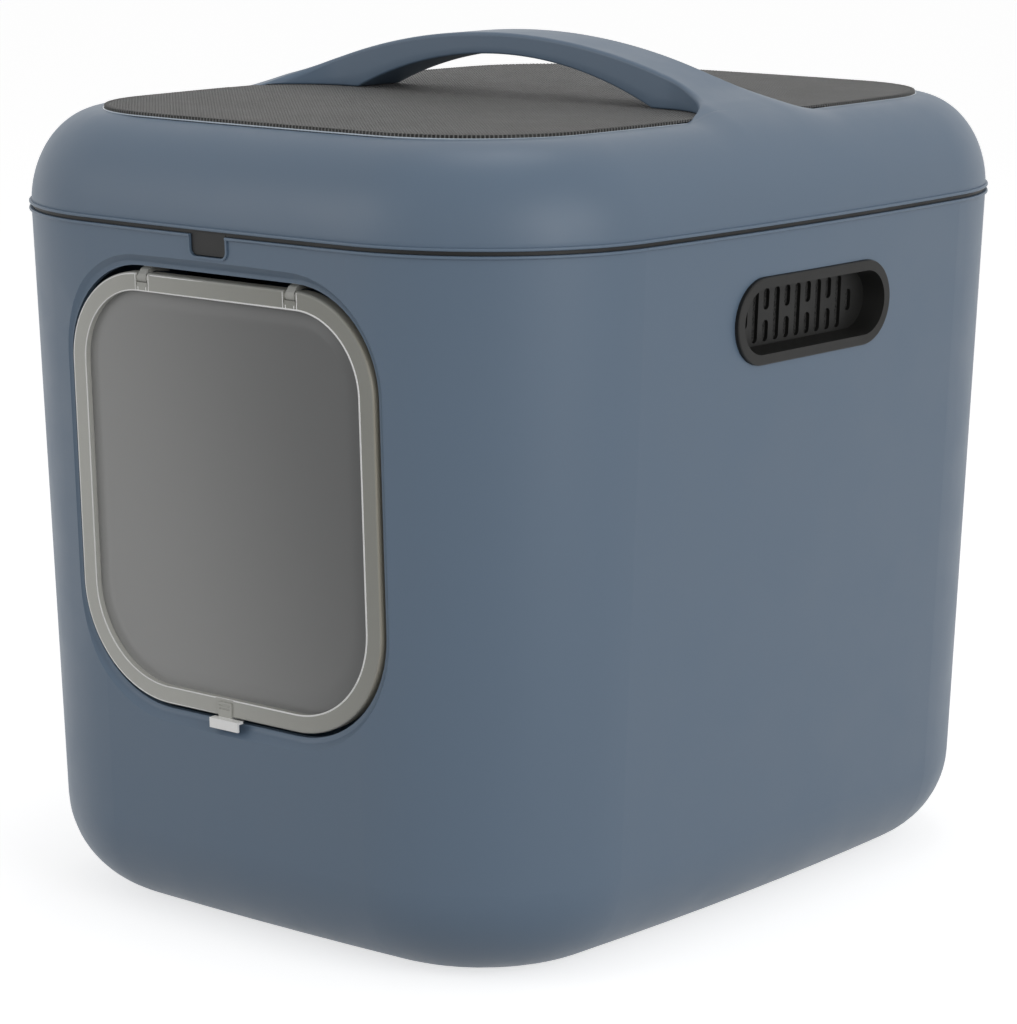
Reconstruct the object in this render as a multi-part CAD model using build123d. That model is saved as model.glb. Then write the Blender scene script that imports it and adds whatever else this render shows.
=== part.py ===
# Litter box with a front flap door and a mesh-topped lid that lifts on a rear hinge.
# Millimetres, +Z up, front (door side) at -Y, origin at the middle of the base plane.
import os
from math import cos, radians, sin, sqrt, tan

from build123d import *

# ---- overall body ----
body_width = 400.0
body_length = 492.0
seam_height = 376.9
corner_radius = 110.0
side_bulge_radius = 2380.0
end_bulge_radius = 2280.0
wall_draft = 2.3
wall = 3.0
floor_thickness = 3.0
base_round = 54.0

# ---- seam between tub and lid ----
seam_gap = 2.4
frame_flange = 2.0
bead_height = 1.6
bead_proud = 1.3
bead_round = 0.6

# ---- lid dome, window and mesh panel ----
dome_inset = 40.5
dome_height = 50.3
window_inset_side = 42.0
window_inset_end = 34.0
window_corner = 76.0
ledge_width = 6.0
ledge_thickness = 3.0
panel_thickness = 3.4
panel_proud = 1.2
panel_clearance = 0.2

# ---- carrying handle ----
handle_apex = 465.0
handle_half_width = 18.0
handle_top_radius = 378.0
handle_under_radius = 244.0
handle_depth = 11.6
handle_arch_reach = 128.0
handle_edge_round = 2.0
leg_corner = 45.0
leg_air = 0.3
root_run = 35.0
root_shoulder_inset = 10.0
root_shoulder_rise = 7.8
root_end_inset = 3.5
root_end_drop = 36.2
leg_start = 110.0
leg_land = 24.0
flare_reach = 28.0
flare_sink = 0.6
flare_run = 17.0
flare_shoulder_inset = 4.5
flare_shoulder_drop = 18.0

# ---- lid frame, its screws and tab ----
flange_width = 15.0
frame_recess = 0.6
skirt_depth = 5.6
skirt_thickness = 2.0
skirt_clearance = 1.2
rib_height = 4.0
rib_clearance = 0.8
rib_thickness = 1.6
boss_inset = 10.0
boss_radius = 4.0
lid_screw_side_y = 92.0
lid_screw_end_x = 46.0
lid_screw_shank = 1.5
lid_screw_length = 14.0
lid_screw_tip_room = 1.0
screw_head_radius = 3.0
screw_head_height = 1.8
thread_clearance = 0.04
hole_clearance = 0.25
tab_width = 23.5
tab_drop = 11.6
tab_thickness = 2.2
tab_recess = 0.4
tab_corner = 3.0
tab_gap = 0.6
tab_border = 1.1
tab_border_proud = 1.0

# ---- lid hinges ----
hinge_x = 72.0
knuckle_radius = 4.5
knuckle_gap = 0.6
lid_knuckle_length = 12.0
tub_knuckle_length = 8.0
knuckle_side_gap = 0.3
knuckle_arm_root = 4.0
bracket_height = 20.0
bracket_thickness = 2.5
bracket_ear = 9.0
bracket_corner = 3.0
bracket_gap = 0.4
bracket_screw_skin = 0.7
lid_pin_radius = 1.5
lid_pin_clearance = 0.05

# ---- door, its opening and the flat facet around it ----
door_width = 210.0
door_height = 228.0
door_drop = 25.0
door_corner_top = 50.0
door_corner_bottom = 60.0
door_face_depth = 3.0
rim_thickness = 7.0
rim_width = 9.5
rim_edge_round = 1.2
rim_lip_depth = 3.5
rim_lip_width = 3.0
door_panel_thickness = 2.0
door_panel_clearance = 0.1
opening_gap_side = 2.0
opening_gap_top = 3.5
opening_gap_bottom = 2.5
facet_depth = 5.0
facet_margin = 1.8
facet_slope = 45.0
facet_round = 3.5
facet_wall = 3.0
pad_margin = 8.0
pad_top_drop = 7.4

# ---- door hinges ----
door_hinge_x = 51.5
door_axis_drop = 3.0
hinge_notch_width = 8.2
hinge_notch_depth = 6.9
finger_width = 5.6
finger_radius = 3.3
finger_crown = 0.9
door_pin_radius = 1.0
door_pin_clearance = 0.05
door_pin_grip = 4.0
hinge_plate_width = 24.0
hinge_plate_height = 8.0
hinge_plate_thickness = 2.5
hinge_plate_rise = 0.8
hinge_rib_reach = 12.8
hinge_rib_heel = 2.5
hinge_rib_toe = 4.9
hinge_rib_throat = 3.1
hinge_screw_x = 7.5
hinge_screw_shank = 1.1
hinge_screw_skin = 0.7

# ---- door lock: down it holds the door, up it lets the door swing both ways ----
lock_x = -4.0
lock_travel = 3.6
lip_shift = 2.0
lip_width = 20.0
lip_height = 5.3
lip_thickness = 1.2
lip_reach = 4.4
lip_drop = 0.4
shelf_thickness = 1.3
neck_width = 6.0
slider_width = 9.0
slider_thickness = 1.6
slider_height = 12.0
slider_gap = 0.1
slider_side_gap = 0.3
keeper_wall = 1.6
keeper_rise = 4.0
keeper_head = 2.0
grip_width = 9.2
grip_thickness = 0.9
grip_top = 7.9
grip_bottom = 2.6
grip_groove_depth = 0.4
grip_groove_width = 0.9
grip_grooves = 2

# ---- side vents ----
vent_height = 329.0
vent_length = 137.0
vent_tall = 45.5
vent_proud = 1.5
vent_seat = 1.0
vent_overlap = 2.8
vent_hole_gap = 0.2
vent_rim = 5.5
vent_rim_round = 0.8
vent_depth = 11.0
vent_taper = 8.0
cup_wall = 2.0
slot_pitch = 9.3
slot_width = 5.0
slot_long = 28.0
slot_bar = 5.3
slot_short = 11.7
slot_last_column = 5
filter_length = 112.0
filter_tall = 30.0
filter_thickness = 10.0
cover_wall = 2.0
cover_fit = 0.2

# ---- derived levels and places ----
draft = radians(wall_draft)
tub_top = seam_height - seam_gap / 2
frame_bottom = tub_top + (seam_gap - frame_flange) / 2
lid_bottom = frame_bottom + frame_flange
dome_top = lid_bottom + dome_height
panel_top = dome_top + panel_proud
panel_bottom = panel_top - panel_thickness
leg_level = panel_top + leg_air
hinge_axis_y = body_length / 2 + bead_proud + knuckle_gap + knuckle_radius
hinge_axis_z = (frame_bottom + lid_bottom) / 2
knuckle_start = lid_knuckle_length / 2 + knuckle_side_gap
knuckle_end = knuckle_start + tub_knuckle_length
bracket_top = -(seam_gap / 2 + bead_height + bracket_gap)
facet_back = facet_depth + facet_wall
rim_back = door_face_depth + rim_thickness
door_middle = -(door_drop + door_height / 2)
door_bottom = -(door_drop + door_height)
opening_top = -(door_drop - opening_gap_top)
door_axis_v = -(door_drop + door_axis_drop)
door_axis_depth = door_face_depth + rim_thickness / 2
lip_top = door_bottom - lip_drop
lip_bottom = lip_top - lip_height
sides = {"left": -1, "right": 1}

# Frames on the outer walls: X across, Y up the wall, Z outwards, origin on the seam line.
front = Plane(
    origin=(0, -body_length / 2, seam_height),
    x_dir=(1, 0, 0),
    z_dir=(0, -cos(draft), -sin(draft)),
).location
rear = Plane(
    origin=(0, body_length / 2, seam_height),
    x_dir=(-1, 0, 0),
    z_dir=(0, cos(draft), -sin(draft)),
).location
flank = Plane(
    origin=(body_width / 2, 0, seam_height),
    x_dir=(0, 1, 0),
    z_dir=(cos(draft), 0, -sin(draft)),
).location
vent_place = flank * Pos(0, vent_height - seam_height, 0)


# Face bounded by eight tangent arcs: four bulged sides and four round corners.
def rounded_outline(half_x, half_y, corner, bulge_x, bulge_y):
    side_centre = Vector(half_x - bulge_x, 0)
    end_centre = Vector(0, half_y - bulge_y)
    between = end_centre - side_centre
    reach_side = bulge_x - corner
    reach_end = bulge_y - corner
    along = (reach_side**2 - reach_end**2 + between.length**2) / (2 * between.length)
    across = sqrt(reach_side**2 - along**2)
    unit = between.normalized()
    corner_centre = side_centre + unit * along + Vector(-unit.Y, unit.X) * across
    if corner_centre.X < 0:
        corner_centre = side_centre + unit * along - Vector(-unit.Y, unit.X) * across
    on_side = corner_centre + (corner_centre - side_centre).normalized() * corner
    on_end = corner_centre + (corner_centre - end_centre).normalized() * corner
    outward = (on_side + on_end) * 0.5 - corner_centre
    middle = corner_centre + outward.normalized() * corner
    arcs = []
    for sx, sy in ((1, 1), (-1, 1), (-1, -1), (1, -1)):
        arcs.append(ThreePointArc(*[(p.X * sx, p.Y * sy) for p in (on_side, middle, on_end)]))
    for sx in (1, -1):
        top = (on_side.X * sx, on_side.Y)
        bottom = (on_side.X * sx, -on_side.Y)
        arcs.append(ThreePointArc(top, (half_x * sx, 0), bottom))
    for sy in (1, -1):
        right = (on_end.X, on_end.Y * sy)
        left = (-on_end.X, on_end.Y * sy)
        arcs.append(ThreePointArc(right, (0, half_y * sy), left))
    return make_face(arcs)


# Seam outline of the body, moved inwards by inset all round.
def body_outline(inset):
    return rounded_outline(
        body_width / 2 - inset,
        body_length / 2 - inset,
        corner_radius - inset,
        side_bulge_radius - inset,
        end_bulge_radius - inset,
    )


# Outline of the lid's window, moved inwards by inset all round.
def window_outline(inset):
    return rounded_outline(
        body_width / 2 - window_inset_side - inset,
        body_length / 2 - window_inset_end - inset,
        window_corner - inset,
        side_bulge_radius - window_inset_side - inset,
        end_bulge_radius - window_inset_end - inset,
    )


# Ring along the seam outline between two insets and two levels.
def band(outer_inset, inner_inset, z_low, z_high):
    ring = body_outline(outer_inset) - body_outline(inner_inset)
    return Pos(0, 0, z_low) * extrude(ring, z_high - z_low)


# Drafted tub volume down to a level floor, with its round bottom edge.
def tub_volume(inset, floor_level):
    top_face = Pos(0, 0, tub_top) * body_outline(inset + (seam_height - tub_top) * tan(draft))
    block = extrude(top_face, tub_top - floor_level, dir=(0, 0, -1), taper=wall_draft)
    return fillet(block.edges().group_by(Axis.Z)[0], base_round - inset)


# Lid volume: the seam outline under an elliptical shoulder.
def dome_volume(inset, height):
    block = extrude(body_outline(inset), dome_inset, both=True)
    block = fillet(block.edges().group_by(Axis.Z)[-1], dome_inset - inset)
    half = split(block, Plane.XY, keep=Keep.TOP)
    return Pos(0, 0, lid_bottom) * scale(half, (1, 1, height / dome_inset))


# Bead standing proud of the seam outline all round, filled inside.
def bead_block(z_low):
    block = Pos(0, 0, z_low) * extrude(body_outline(-bead_proud), bead_height)
    return fillet(block.edges(), bead_round)


# Extrusion of a sketch in a wall frame from one depth behind the surface to another.
def slab(sketch, near, far):
    return Pos(0, 0, -far) * extrude(sketch, far - near)


# Solid across a wall frame between two X values, from (depth, height) points.
def fin(points, x_low, x_high):
    section = Plane(origin=(x_low, 0, 0), x_dir=(0, 0, -1), z_dir=(1, 0, 0))
    return extrude(section * make_face(Polyline(*points, close=True)), x_high - x_low)


# Cylinder across a wall frame between two X values, at a height and a depth.
def rod(radius, x_low, x_high, height, depth):
    middle = Pos((x_low + x_high) / 2, height, -depth)
    return middle * Rot(0, 90, 0) * Cylinder(radius, x_high - x_low)


# Door outline grown at its sides, top and bottom, in the front wall frame.
def door_outline(side, top, bottom):
    sheet = Rectangle(door_width + 2 * side, door_height + top + bottom)
    sheet = fillet(sheet.vertices().group_by(Axis.Y)[-1], door_corner_top + (side + top) / 2)
    sheet = fillet(sheet.vertices().group_by(Axis.Y)[0], door_corner_bottom + (side + bottom) / 2)
    return Pos(0, door_middle + (top - bottom) / 2) * sheet


# Upright sheet between two heights, with both lower corners round.
def tongue_outline(width, top, bottom, corner):
    sheet = Pos(0, (top + bottom) / 2) * Rectangle(width, top - bottom)
    return fillet(sheet.vertices().group_by(Axis.Y)[0], corner)


# Vent outline moved inwards by inset all round.
def vent_slot(inset):
    return SlotOverall(vent_length - 2 * inset, vent_tall - 2 * inset)


# Cylinder along X on the lid hinge axis, reaching half_length to both sides of x.
def hinge_rod(radius, x, half_length):
    middle = Pos(x, hinge_axis_y, hinge_axis_z)
    return middle * Rot(0, 90, 0) * Cylinder(radius, 2 * half_length)


# Middles of the two screws of one door hinge, in the front wall frame.
def hinge_screw_places(side):
    height = opening_top + hinge_plate_rise + hinge_plate_height / 2
    return [(side * door_hinge_x + shift, height) for shift in (-hinge_screw_x, hinge_screw_x)]


# Middles of the screws that hold the lid frame, set in from the seam outline.
def lid_screw_places():
    side_x = body_width / 2 - boss_inset - lid_screw_side_y**2 / (2 * side_bulge_radius)
    end_y = body_length / 2 - boss_inset - lid_screw_end_x**2 / (2 * end_bulge_radius)
    spots = [(side_x, lid_screw_side_y), (lid_screw_end_x, end_y)]
    return [(x * sx, y * sy) for x, y in spots for sx in (-1, 1) for sy in (-1, 1)]


# Flat recess around the door: a planar floor with sloping, softened sides.
def facet_tool():
    floor_edge = door_outline(
        opening_gap_side + facet_margin,
        opening_gap_top + facet_margin,
        opening_gap_bottom + facet_margin,
    )
    tool = extrude(floor_edge, 2 * facet_depth, taper=-facet_slope)
    tool = fillet(tool.edges().group_by(Axis.Z)[0], facet_round)
    return Pos(0, 0, -facet_depth) * tool


# How far the front or rear wall falls back from its middle line at x.
def bulge_fall(x):
    return end_bulge_radius - sqrt(end_bulge_radius**2 - x**2)


# Middles of the two screws of one lid hinge bracket, in the rear wall frame (X to the left).
def bracket_screw_places(side):
    shift = knuckle_end + bracket_ear / 2
    height = bracket_top - bracket_height / 2
    return [(along * shift - side * hinge_x, height) for along in (-1, 1)]


def make_tub():
    outer = tub_volume(0, 0)
    inner = tub_volume(wall, floor_thickness)
    pad_outline = door_outline(
        opening_gap_side + facet_margin + pad_margin,
        door_drop - pad_top_drop,
        opening_gap_bottom + facet_margin + pad_margin,
    )
    shell = outer - inner
    shell += (front * slab(pad_outline, 0, facet_back)) & outer
    shell += bead_block(tub_top - bead_height) - inner
    border = tongue_outline(
        tab_width + 2 * (tab_gap + tab_border),
        tub_top - seam_height,
        -(tab_drop + tab_gap + tab_border),
        tab_corner + tab_gap + tab_border,
    )
    shell += front * slab(border, -tab_border_proud, wall / 2)
    tab_notch = tongue_outline(
        tab_width + 2 * tab_gap, wall, -(tab_drop + tab_gap), tab_corner + tab_gap
    )
    opening = door_outline(opening_gap_side, opening_gap_top, opening_gap_bottom)
    shell -= front * facet_tool()
    shell -= front * slab(opening, -facet_depth, facet_back + facet_wall)
    shell -= front * slab(tab_notch, -wall, wall + tab_gap)
    pilot_depth = facet_wall - hinge_screw_skin
    for side in sides.values():
        for x, height in hinge_screw_places(side):
            pilot = Cylinder(hinge_screw_shank + thread_clearance, pilot_depth)
            shell -= front * Pos(x, height, pilot_depth / 2 - facet_back) * pilot
        for x, height in bracket_screw_places(side):
            depth = bulge_fall(x) + wall - bracket_screw_skin
            pilot = Cylinder(lid_screw_shank + thread_clearance, 2 * depth)
            shell -= rear * Pos(x, height, 0) * pilot
    seat = vent_place * slab(vent_slot(-vent_hole_gap), -wall, vent_seat)
    hole = vent_place * slab(vent_slot(vent_overlap), -wall, 2 * wall)
    for cut in (seat, hole):
        shell -= cut
        shell -= mirror(cut, about=Plane.YZ)
    return shell


# Right vent cup: flange on the wall, tapered pocket and slotted back.
def make_vent_cup():
    flange = slab(vent_slot(0), -vent_proud, vent_seat)
    flange = fillet(flange.edges().group_by(Axis.Z)[-1], vent_rim_round)
    pocket_mouth = vent_slot(vent_overlap + vent_hole_gap)
    body = extrude(pocket_mouth, vent_depth + cup_wall, dir=(0, 0, -1), taper=vent_taper)
    hollow = extrude(
        Pos(0, 0, vent_proud) * vent_slot(vent_rim),
        vent_depth + vent_proud,
        dir=(0, 0, -1),
        taper=vent_taper,
    )
    cup = flange + body - hollow
    for slot in grille_slots():
        cup -= slab(slot, vent_depth - cup_wall, vent_depth + 2 * cup_wall)
    return vent_place * cup


# Upright slots of the vent grille: long, split and short columns in turn.
def grille_slots():
    split_length = (slot_long - slot_bar) / 2
    split_shift = (split_length + slot_bar) / 2
    slots = []
    for column in range(-slot_last_column, slot_last_column + 1):
        place = Pos(column * slot_pitch, 0) * Rot(0, 0, 90)
        if abs(column) == slot_last_column:
            slots.append(place * SlotOverall(slot_short, slot_width))
        elif column % 2 == 0:
            slots.append(place * SlotOverall(slot_long, slot_width))
        else:
            for shift in (-split_shift, split_shift):
                slots.append(place * Pos(shift, 0) * SlotOverall(split_length, slot_width))
    return slots


def make_filter():
    near = vent_depth + cup_wall
    block = slab(SlotOverall(filter_length, filter_tall), near, near + filter_thickness)
    return vent_place * block


# Cover behind the filter: a slotted tray closed on the cup's back.
def make_filter_cover():
    near = vent_depth + cup_wall
    inner_far = near + filter_thickness + cover_fit
    grow = 2 * cover_fit
    tray = slab(
        SlotOverall(filter_length + grow + 2 * cover_wall, filter_tall + grow + 2 * cover_wall),
        near,
        inner_far + cover_wall,
    )
    tray -= slab(SlotOverall(filter_length + grow, filter_tall + grow), near - cover_wall, inner_far)
    for slot in grille_slots():
        tray -= slab(slot, inner_far - cover_fit, inner_far + 2 * cover_wall)
    return vent_place * tray


# Door hinge: screwed plate with a finger that hooks over the pin in the rim's notch.
def make_door_hinge(side):
    middle = side * door_hinge_x
    plate_low = opening_top + hinge_plate_rise
    plate_high = plate_low + hinge_plate_height
    plate_back = facet_back + hinge_plate_thickness
    crown = opening_top - finger_crown
    finger = fin(
        [
            (door_axis_depth - finger_radius, door_axis_v),
            (door_axis_depth - finger_radius * cos(radians(30)), crown - finger_radius),
            (door_axis_depth - finger_crown, crown - finger_crown),
            (facet_back, crown),
            (facet_back, plate_high),
            (plate_back, plate_high),
            (facet_back + hinge_rib_reach, crown),
            (facet_back + hinge_rib_reach, opening_top - hinge_rib_toe),
            (facet_back + hinge_rib_heel, opening_top - hinge_rib_throat),
            (door_axis_depth + finger_radius / 2, door_axis_v + finger_radius * sin(radians(60))),
            (door_axis_depth, door_axis_v),
        ],
        middle - finger_width / 2,
        middle + finger_width / 2,
    )
    barrel = rod(
        finger_radius, middle - finger_width / 2, middle + finger_width / 2, door_axis_v, door_axis_depth
    )
    plate_face = Pos(middle, (plate_low + plate_high) / 2) * RectangleRounded(
        hinge_plate_width, hinge_plate_height, hinge_plate_height / 4
    )
    piece = finger + barrel + slab(plate_face, facet_back, plate_back)
    bore = door_pin_radius + door_pin_clearance
    piece -= rod(bore, middle - finger_width, middle + finger_width, door_axis_v, door_axis_depth)
    for x, height in hinge_screw_places(side):
        hole = Cylinder(hinge_screw_shank + hole_clearance, 4 * hinge_plate_thickness)
        piece -= Pos(x, height, -plate_back) * hole
    return front * piece


# Screws of both door hinges, heads against the hinge plates.
def make_hinge_screws():
    plate_back = facet_back + hinge_plate_thickness
    length = hinge_plate_thickness + facet_wall - hinge_screw_skin
    screws = []
    for side in sides.values():
        for x, height in hinge_screw_places(side):
            shank = Cylinder(hinge_screw_shank, length, align=(Align.CENTER, Align.CENTER, Align.MIN))
            head = Cylinder(
                2 * hinge_screw_shank,
                screw_head_height,
                align=(Align.CENTER, Align.CENTER, Align.MAX),
            )
            screws.append(front * Pos(x, height, -plate_back) * (shank + head))
    return Compound(children=screws)


# Lid hinge bracket: plate fitted to the rear wall, with two knuckles on webs.
def make_lid_hinge(side):
    plate = Pos(-side * hinge_x, bracket_top - bracket_height / 2) * RectangleRounded(
        2 * (knuckle_end + bracket_ear), bracket_height, bracket_corner
    )
    face = bulge_fall(hinge_x) - bracket_thickness
    bracket = rear * slab(plate, face, wall)
    inner_y = body_length / 2 + bead_proud + bracket_gap
    foot_z = seam_height + bracket_top - bracket_height
    web = Polyline(
        (body_length / 2, seam_height + bracket_top),
        (inner_y, seam_height + bracket_top),
        (inner_y, hinge_axis_z),
        (hinge_axis_y + knuckle_radius, hinge_axis_z),
        (body_length / 2, foot_z),
        close=True,
    )
    for along in (-1, 1):
        middle = side * hinge_x + along * (knuckle_start + tub_knuckle_length / 2)
        section = Plane.YZ.offset(middle) * make_face(web)
        bracket += extrude(section, tub_knuckle_length / 2, both=True)
        bracket += hinge_rod(knuckle_radius, middle, tub_knuckle_length / 2)
    bracket -= tub_volume(0, 0)
    bracket -= hinge_rod(lid_pin_radius, side * hinge_x, knuckle_end)
    for x, height in bracket_screw_places(side):
        hole = Cylinder(lid_screw_shank + hole_clearance, 4 * bracket_thickness)
        bracket -= rear * Pos(x, height, -face) * hole
    return bracket


# Screws of both lid hinge brackets, heads on the plates.
def make_lid_hinge_screws():
    face = bulge_fall(hinge_x) - bracket_thickness
    screws = []
    for side in sides.values():
        for x, height in bracket_screw_places(side):
            tip = bulge_fall(x) + wall - bracket_screw_skin
            shank = Cylinder(
                lid_screw_shank, tip - face, align=(Align.CENTER, Align.CENTER, Align.MAX)
            )
            head = Cylinder(
                screw_head_radius, screw_head_height, align=(Align.CENTER, Align.CENTER, Align.MIN)
            )
            screws.append(rear * Pos(x, height, -face) * (shank + head))
    return Compound(children=screws)


def make_lid_pin(side):
    return hinge_rod(lid_pin_radius, side * hinge_x, knuckle_end)


# Control points of the handle's root curve, from the arch down the lid's shoulder.
def root_curve():
    arch_drop = handle_top_radius - sqrt(handle_top_radius**2 - handle_arch_reach**2)
    slope = handle_arch_reach / sqrt(handle_top_radius**2 - handle_arch_reach**2)
    start = Vector(handle_arch_reach, handle_apex - arch_drop)
    return [
        start,
        start + Vector(root_run, -root_run * slope),
        Vector(body_width / 2 - root_shoulder_inset, dome_top + root_shoulder_rise),
        Vector(body_width / 2 - root_end_inset, dome_top - root_end_drop),
    ]


# Side view of handle and legs: round top, round underside, legs down into the lid.
def handle_profile():
    root = root_curve()
    under_apex = handle_apex - handle_depth
    fall = handle_under_radius - (under_apex - leg_level)
    leg_x = sqrt(handle_under_radius**2 - fall**2)
    end = root[-1]
    edges = [
        ThreePointArc((-root[0].X, root[0].Y), (0, handle_apex), (root[0].X, root[0].Y)),
        ThreePointArc((-leg_x, leg_level), (0, under_apex), (leg_x, leg_level)),
    ]
    for sx in (-1, 1):
        edges.append(Bezier(*[(p.X * sx, p.Y) for p in root]))
        edges.append(Line((end.X * sx, end.Y), (leg_x * sx, end.Y)))
        edges.append(Line((leg_x * sx, end.Y), (leg_x * sx, leg_level)))
    return make_face(edges)


# The two halves of the window beside the handle, rounded widely at its legs.
def window_halves():
    halves = window_outline(0) - Rectangle(body_width, 2 * handle_half_width)
    inner = [v for v in halves.vertices() if abs(v.Y) < handle_half_width + leg_corner / 2]
    return fillet(inner, leg_corner)


# Right flares: the root slopes from its level land to the lid's shoulder, front and rear.
def root_flares():
    crest = root_curve()
    foot_start = Vector(crest[0].X, dome_top - flare_sink)
    foot = [
        foot_start,
        foot_start + Vector(flare_run, 0),
        Vector(body_width / 2 - flare_shoulder_inset, dome_top - flare_shoulder_drop),
        crest[-1] - Vector(flare_sink, 0),
    ]
    flares = []
    for sy in (-1, 1):
        sections = []
        for points, y in ((crest, leg_land), (foot, leg_land + flare_reach)):
            corner = (points[0].X, points[-1].Y)
            curve = Bezier(*[(p.X, p.Y) for p in points])
            down = Line((points[-1].X, points[-1].Y), corner)
            up = Line(corner, (points[0].X, points[0].Y))
            sections.append(Plane.XZ.offset(-sy * y) * make_face([curve, down, up]))
        flares.append(loft(sections, ruled=True))
    return flares


# Arch with rounded edges, and legs that widen in plan along the window's round corners.
def make_handle():
    profile = handle_profile()
    arch = extrude(Plane.XZ * profile, handle_half_width, both=True)
    long_edges = [e for e in arch.edges() if e.geom_type != GeomType.LINE]
    arch = fillet(long_edges, handle_edge_round)
    clear = Pos(0, 0, leg_level) * extrude(window_halves(), handle_apex - leg_level)
    leg_side = profile & Pos(leg_start + body_width / 2, dome_top) * Rectangle(
        body_width, body_width
    )
    legs = [extrude(Plane.XZ * leg_side, leg_land, both=True)] + root_flares()
    for leg in legs:
        kept = leg - clear
        arch += kept
        arch += mirror(kept, about=Plane.YZ)
    return arch


def make_lid_shell():
    hollow_height = dome_height - panel_thickness + panel_proud - ledge_thickness
    hollow = dome_volume(wall, hollow_height)
    shell = dome_volume(0, dome_height) + make_handle() + bead_block(lid_bottom)
    shell -= hollow
    boss_limit = dome_volume(wall / 2, dome_height - wall / 2)
    for x, y in lid_screw_places():
        boss = Pos(x, y, lid_bottom) * Cylinder(
            boss_radius, dome_height, align=(Align.CENTER, Align.CENTER, Align.MIN)
        )
        shell += boss & boss_limit
    window = Pos(0, 0, panel_bottom) * extrude(window_outline(0), leg_level - panel_bottom)
    well = Pos(0, 0, lid_bottom) * extrude(window_outline(ledge_width), dome_height)
    well -= Pos(0, 0, panel_bottom) * extrude(window_outline(0), dome_height)
    shell -= window
    shell -= well
    for x, y in lid_screw_places():
        depth = lid_screw_length - frame_flange + lid_screw_tip_room
        pilot = Cylinder(
            lid_screw_shank + thread_clearance, depth, align=(Align.CENTER, Align.CENTER, Align.MIN)
        )
        shell -= Pos(x, y, lid_bottom) * pilot
    return shell


def make_mesh_panel():
    return Pos(0, 0, panel_bottom) * extrude(window_outline(panel_clearance), panel_thickness)


# Dark frame under the lid: flange, skirt inside the tub, rib inside the lid, tab, knuckles.
def make_lid_frame():
    frame = band(frame_recess, flange_width, frame_bottom, lid_bottom)
    skirt_inset = wall + skirt_clearance
    frame += band(skirt_inset, skirt_inset + skirt_thickness, frame_bottom - skirt_depth, lid_bottom)
    rib_inset = wall + rib_clearance
    frame += band(rib_inset, rib_inset + rib_thickness, frame_bottom, lid_bottom + rib_height)
    tab = tongue_outline(tab_width, 0, -tab_drop, tab_corner)
    frame += front * slab(tab, tab_recess, tab_recess + tab_thickness)
    for side in sides.values():
        arm_start = body_length / 2 - knuckle_arm_root
        arm = Pos(side * hinge_x, (arm_start + hinge_axis_y) / 2, hinge_axis_z) * Box(
            lid_knuckle_length, hinge_axis_y - arm_start, frame_flange
        )
        frame += arm
        frame += hinge_rod(knuckle_radius, side * hinge_x, lid_knuckle_length / 2)
        frame -= hinge_rod(lid_pin_radius + lid_pin_clearance, side * hinge_x, lid_knuckle_length)
    for x, y in lid_screw_places():
        frame -= Pos(x, y, hinge_axis_z) * Cylinder(lid_screw_shank + hole_clearance, 2 * frame_flange)
    return frame


# Screws from below through the frame into the lid's bosses.
def make_lid_screws():
    screws = []
    for x, y in lid_screw_places():
        shank = Cylinder(
            lid_screw_shank, lid_screw_length, align=(Align.CENTER, Align.CENTER, Align.MIN)
        )
        head = Cylinder(
            screw_head_radius, screw_head_height, align=(Align.CENTER, Align.CENTER, Align.MAX)
        )
        screws.append(Pos(x, y, frame_bottom) * (shank + head))
    return Compound(children=screws)


# Door rim: outer bar, inner lip before the panel, hinge notches and the lock's slot.
def make_door_rim():
    rim = slab(door_outline(0, 0, 0), door_face_depth, rim_back)
    rim = fillet(rim.edges().group_by(Axis.Z)[-1], rim_edge_round)
    seat_inset = rim_width - rim_lip_width
    seat = door_outline(-seat_inset, -seat_inset, -seat_inset)
    view = door_outline(-rim_width, -rim_width, -rim_width)
    rim -= slab(seat, door_face_depth + rim_lip_depth, rim_back + rim_thickness)
    rim -= slab(view, 0, rim_back)
    for side in sides.values():
        middle = side * door_hinge_x
        notch = Pos(middle, -door_drop, -door_axis_depth) * Box(
            hinge_notch_width, 2 * hinge_notch_depth, 2 * rim_thickness
        )
        rim -= notch
        half_pin = hinge_notch_width / 2 + door_pin_grip
        rim -= rod(door_pin_radius, middle - half_pin, middle + half_pin, door_axis_v, door_axis_depth)
    slot_height = lock_travel - lip_drop + slider_side_gap
    slot = Rectangle(neck_width + 2 * slider_side_gap, 2 * slot_height)
    rim -= Pos(lock_x, door_bottom, 0) * slab(slot, 0, rim_back + rim_thickness)
    return front * rim


def make_door_panel():
    inset = rim_width - rim_lip_width + door_panel_clearance
    near = door_face_depth + rim_lip_depth
    return front * slab(door_outline(-inset, -inset, -inset), near, near + door_panel_thickness)


def make_door_pin(side):
    middle = side * door_hinge_x
    half_pin = hinge_notch_width / 2 + door_pin_grip
    pin = rod(door_pin_radius, middle - half_pin, middle + half_pin, door_axis_v, door_axis_depth)
    return front * pin


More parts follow.
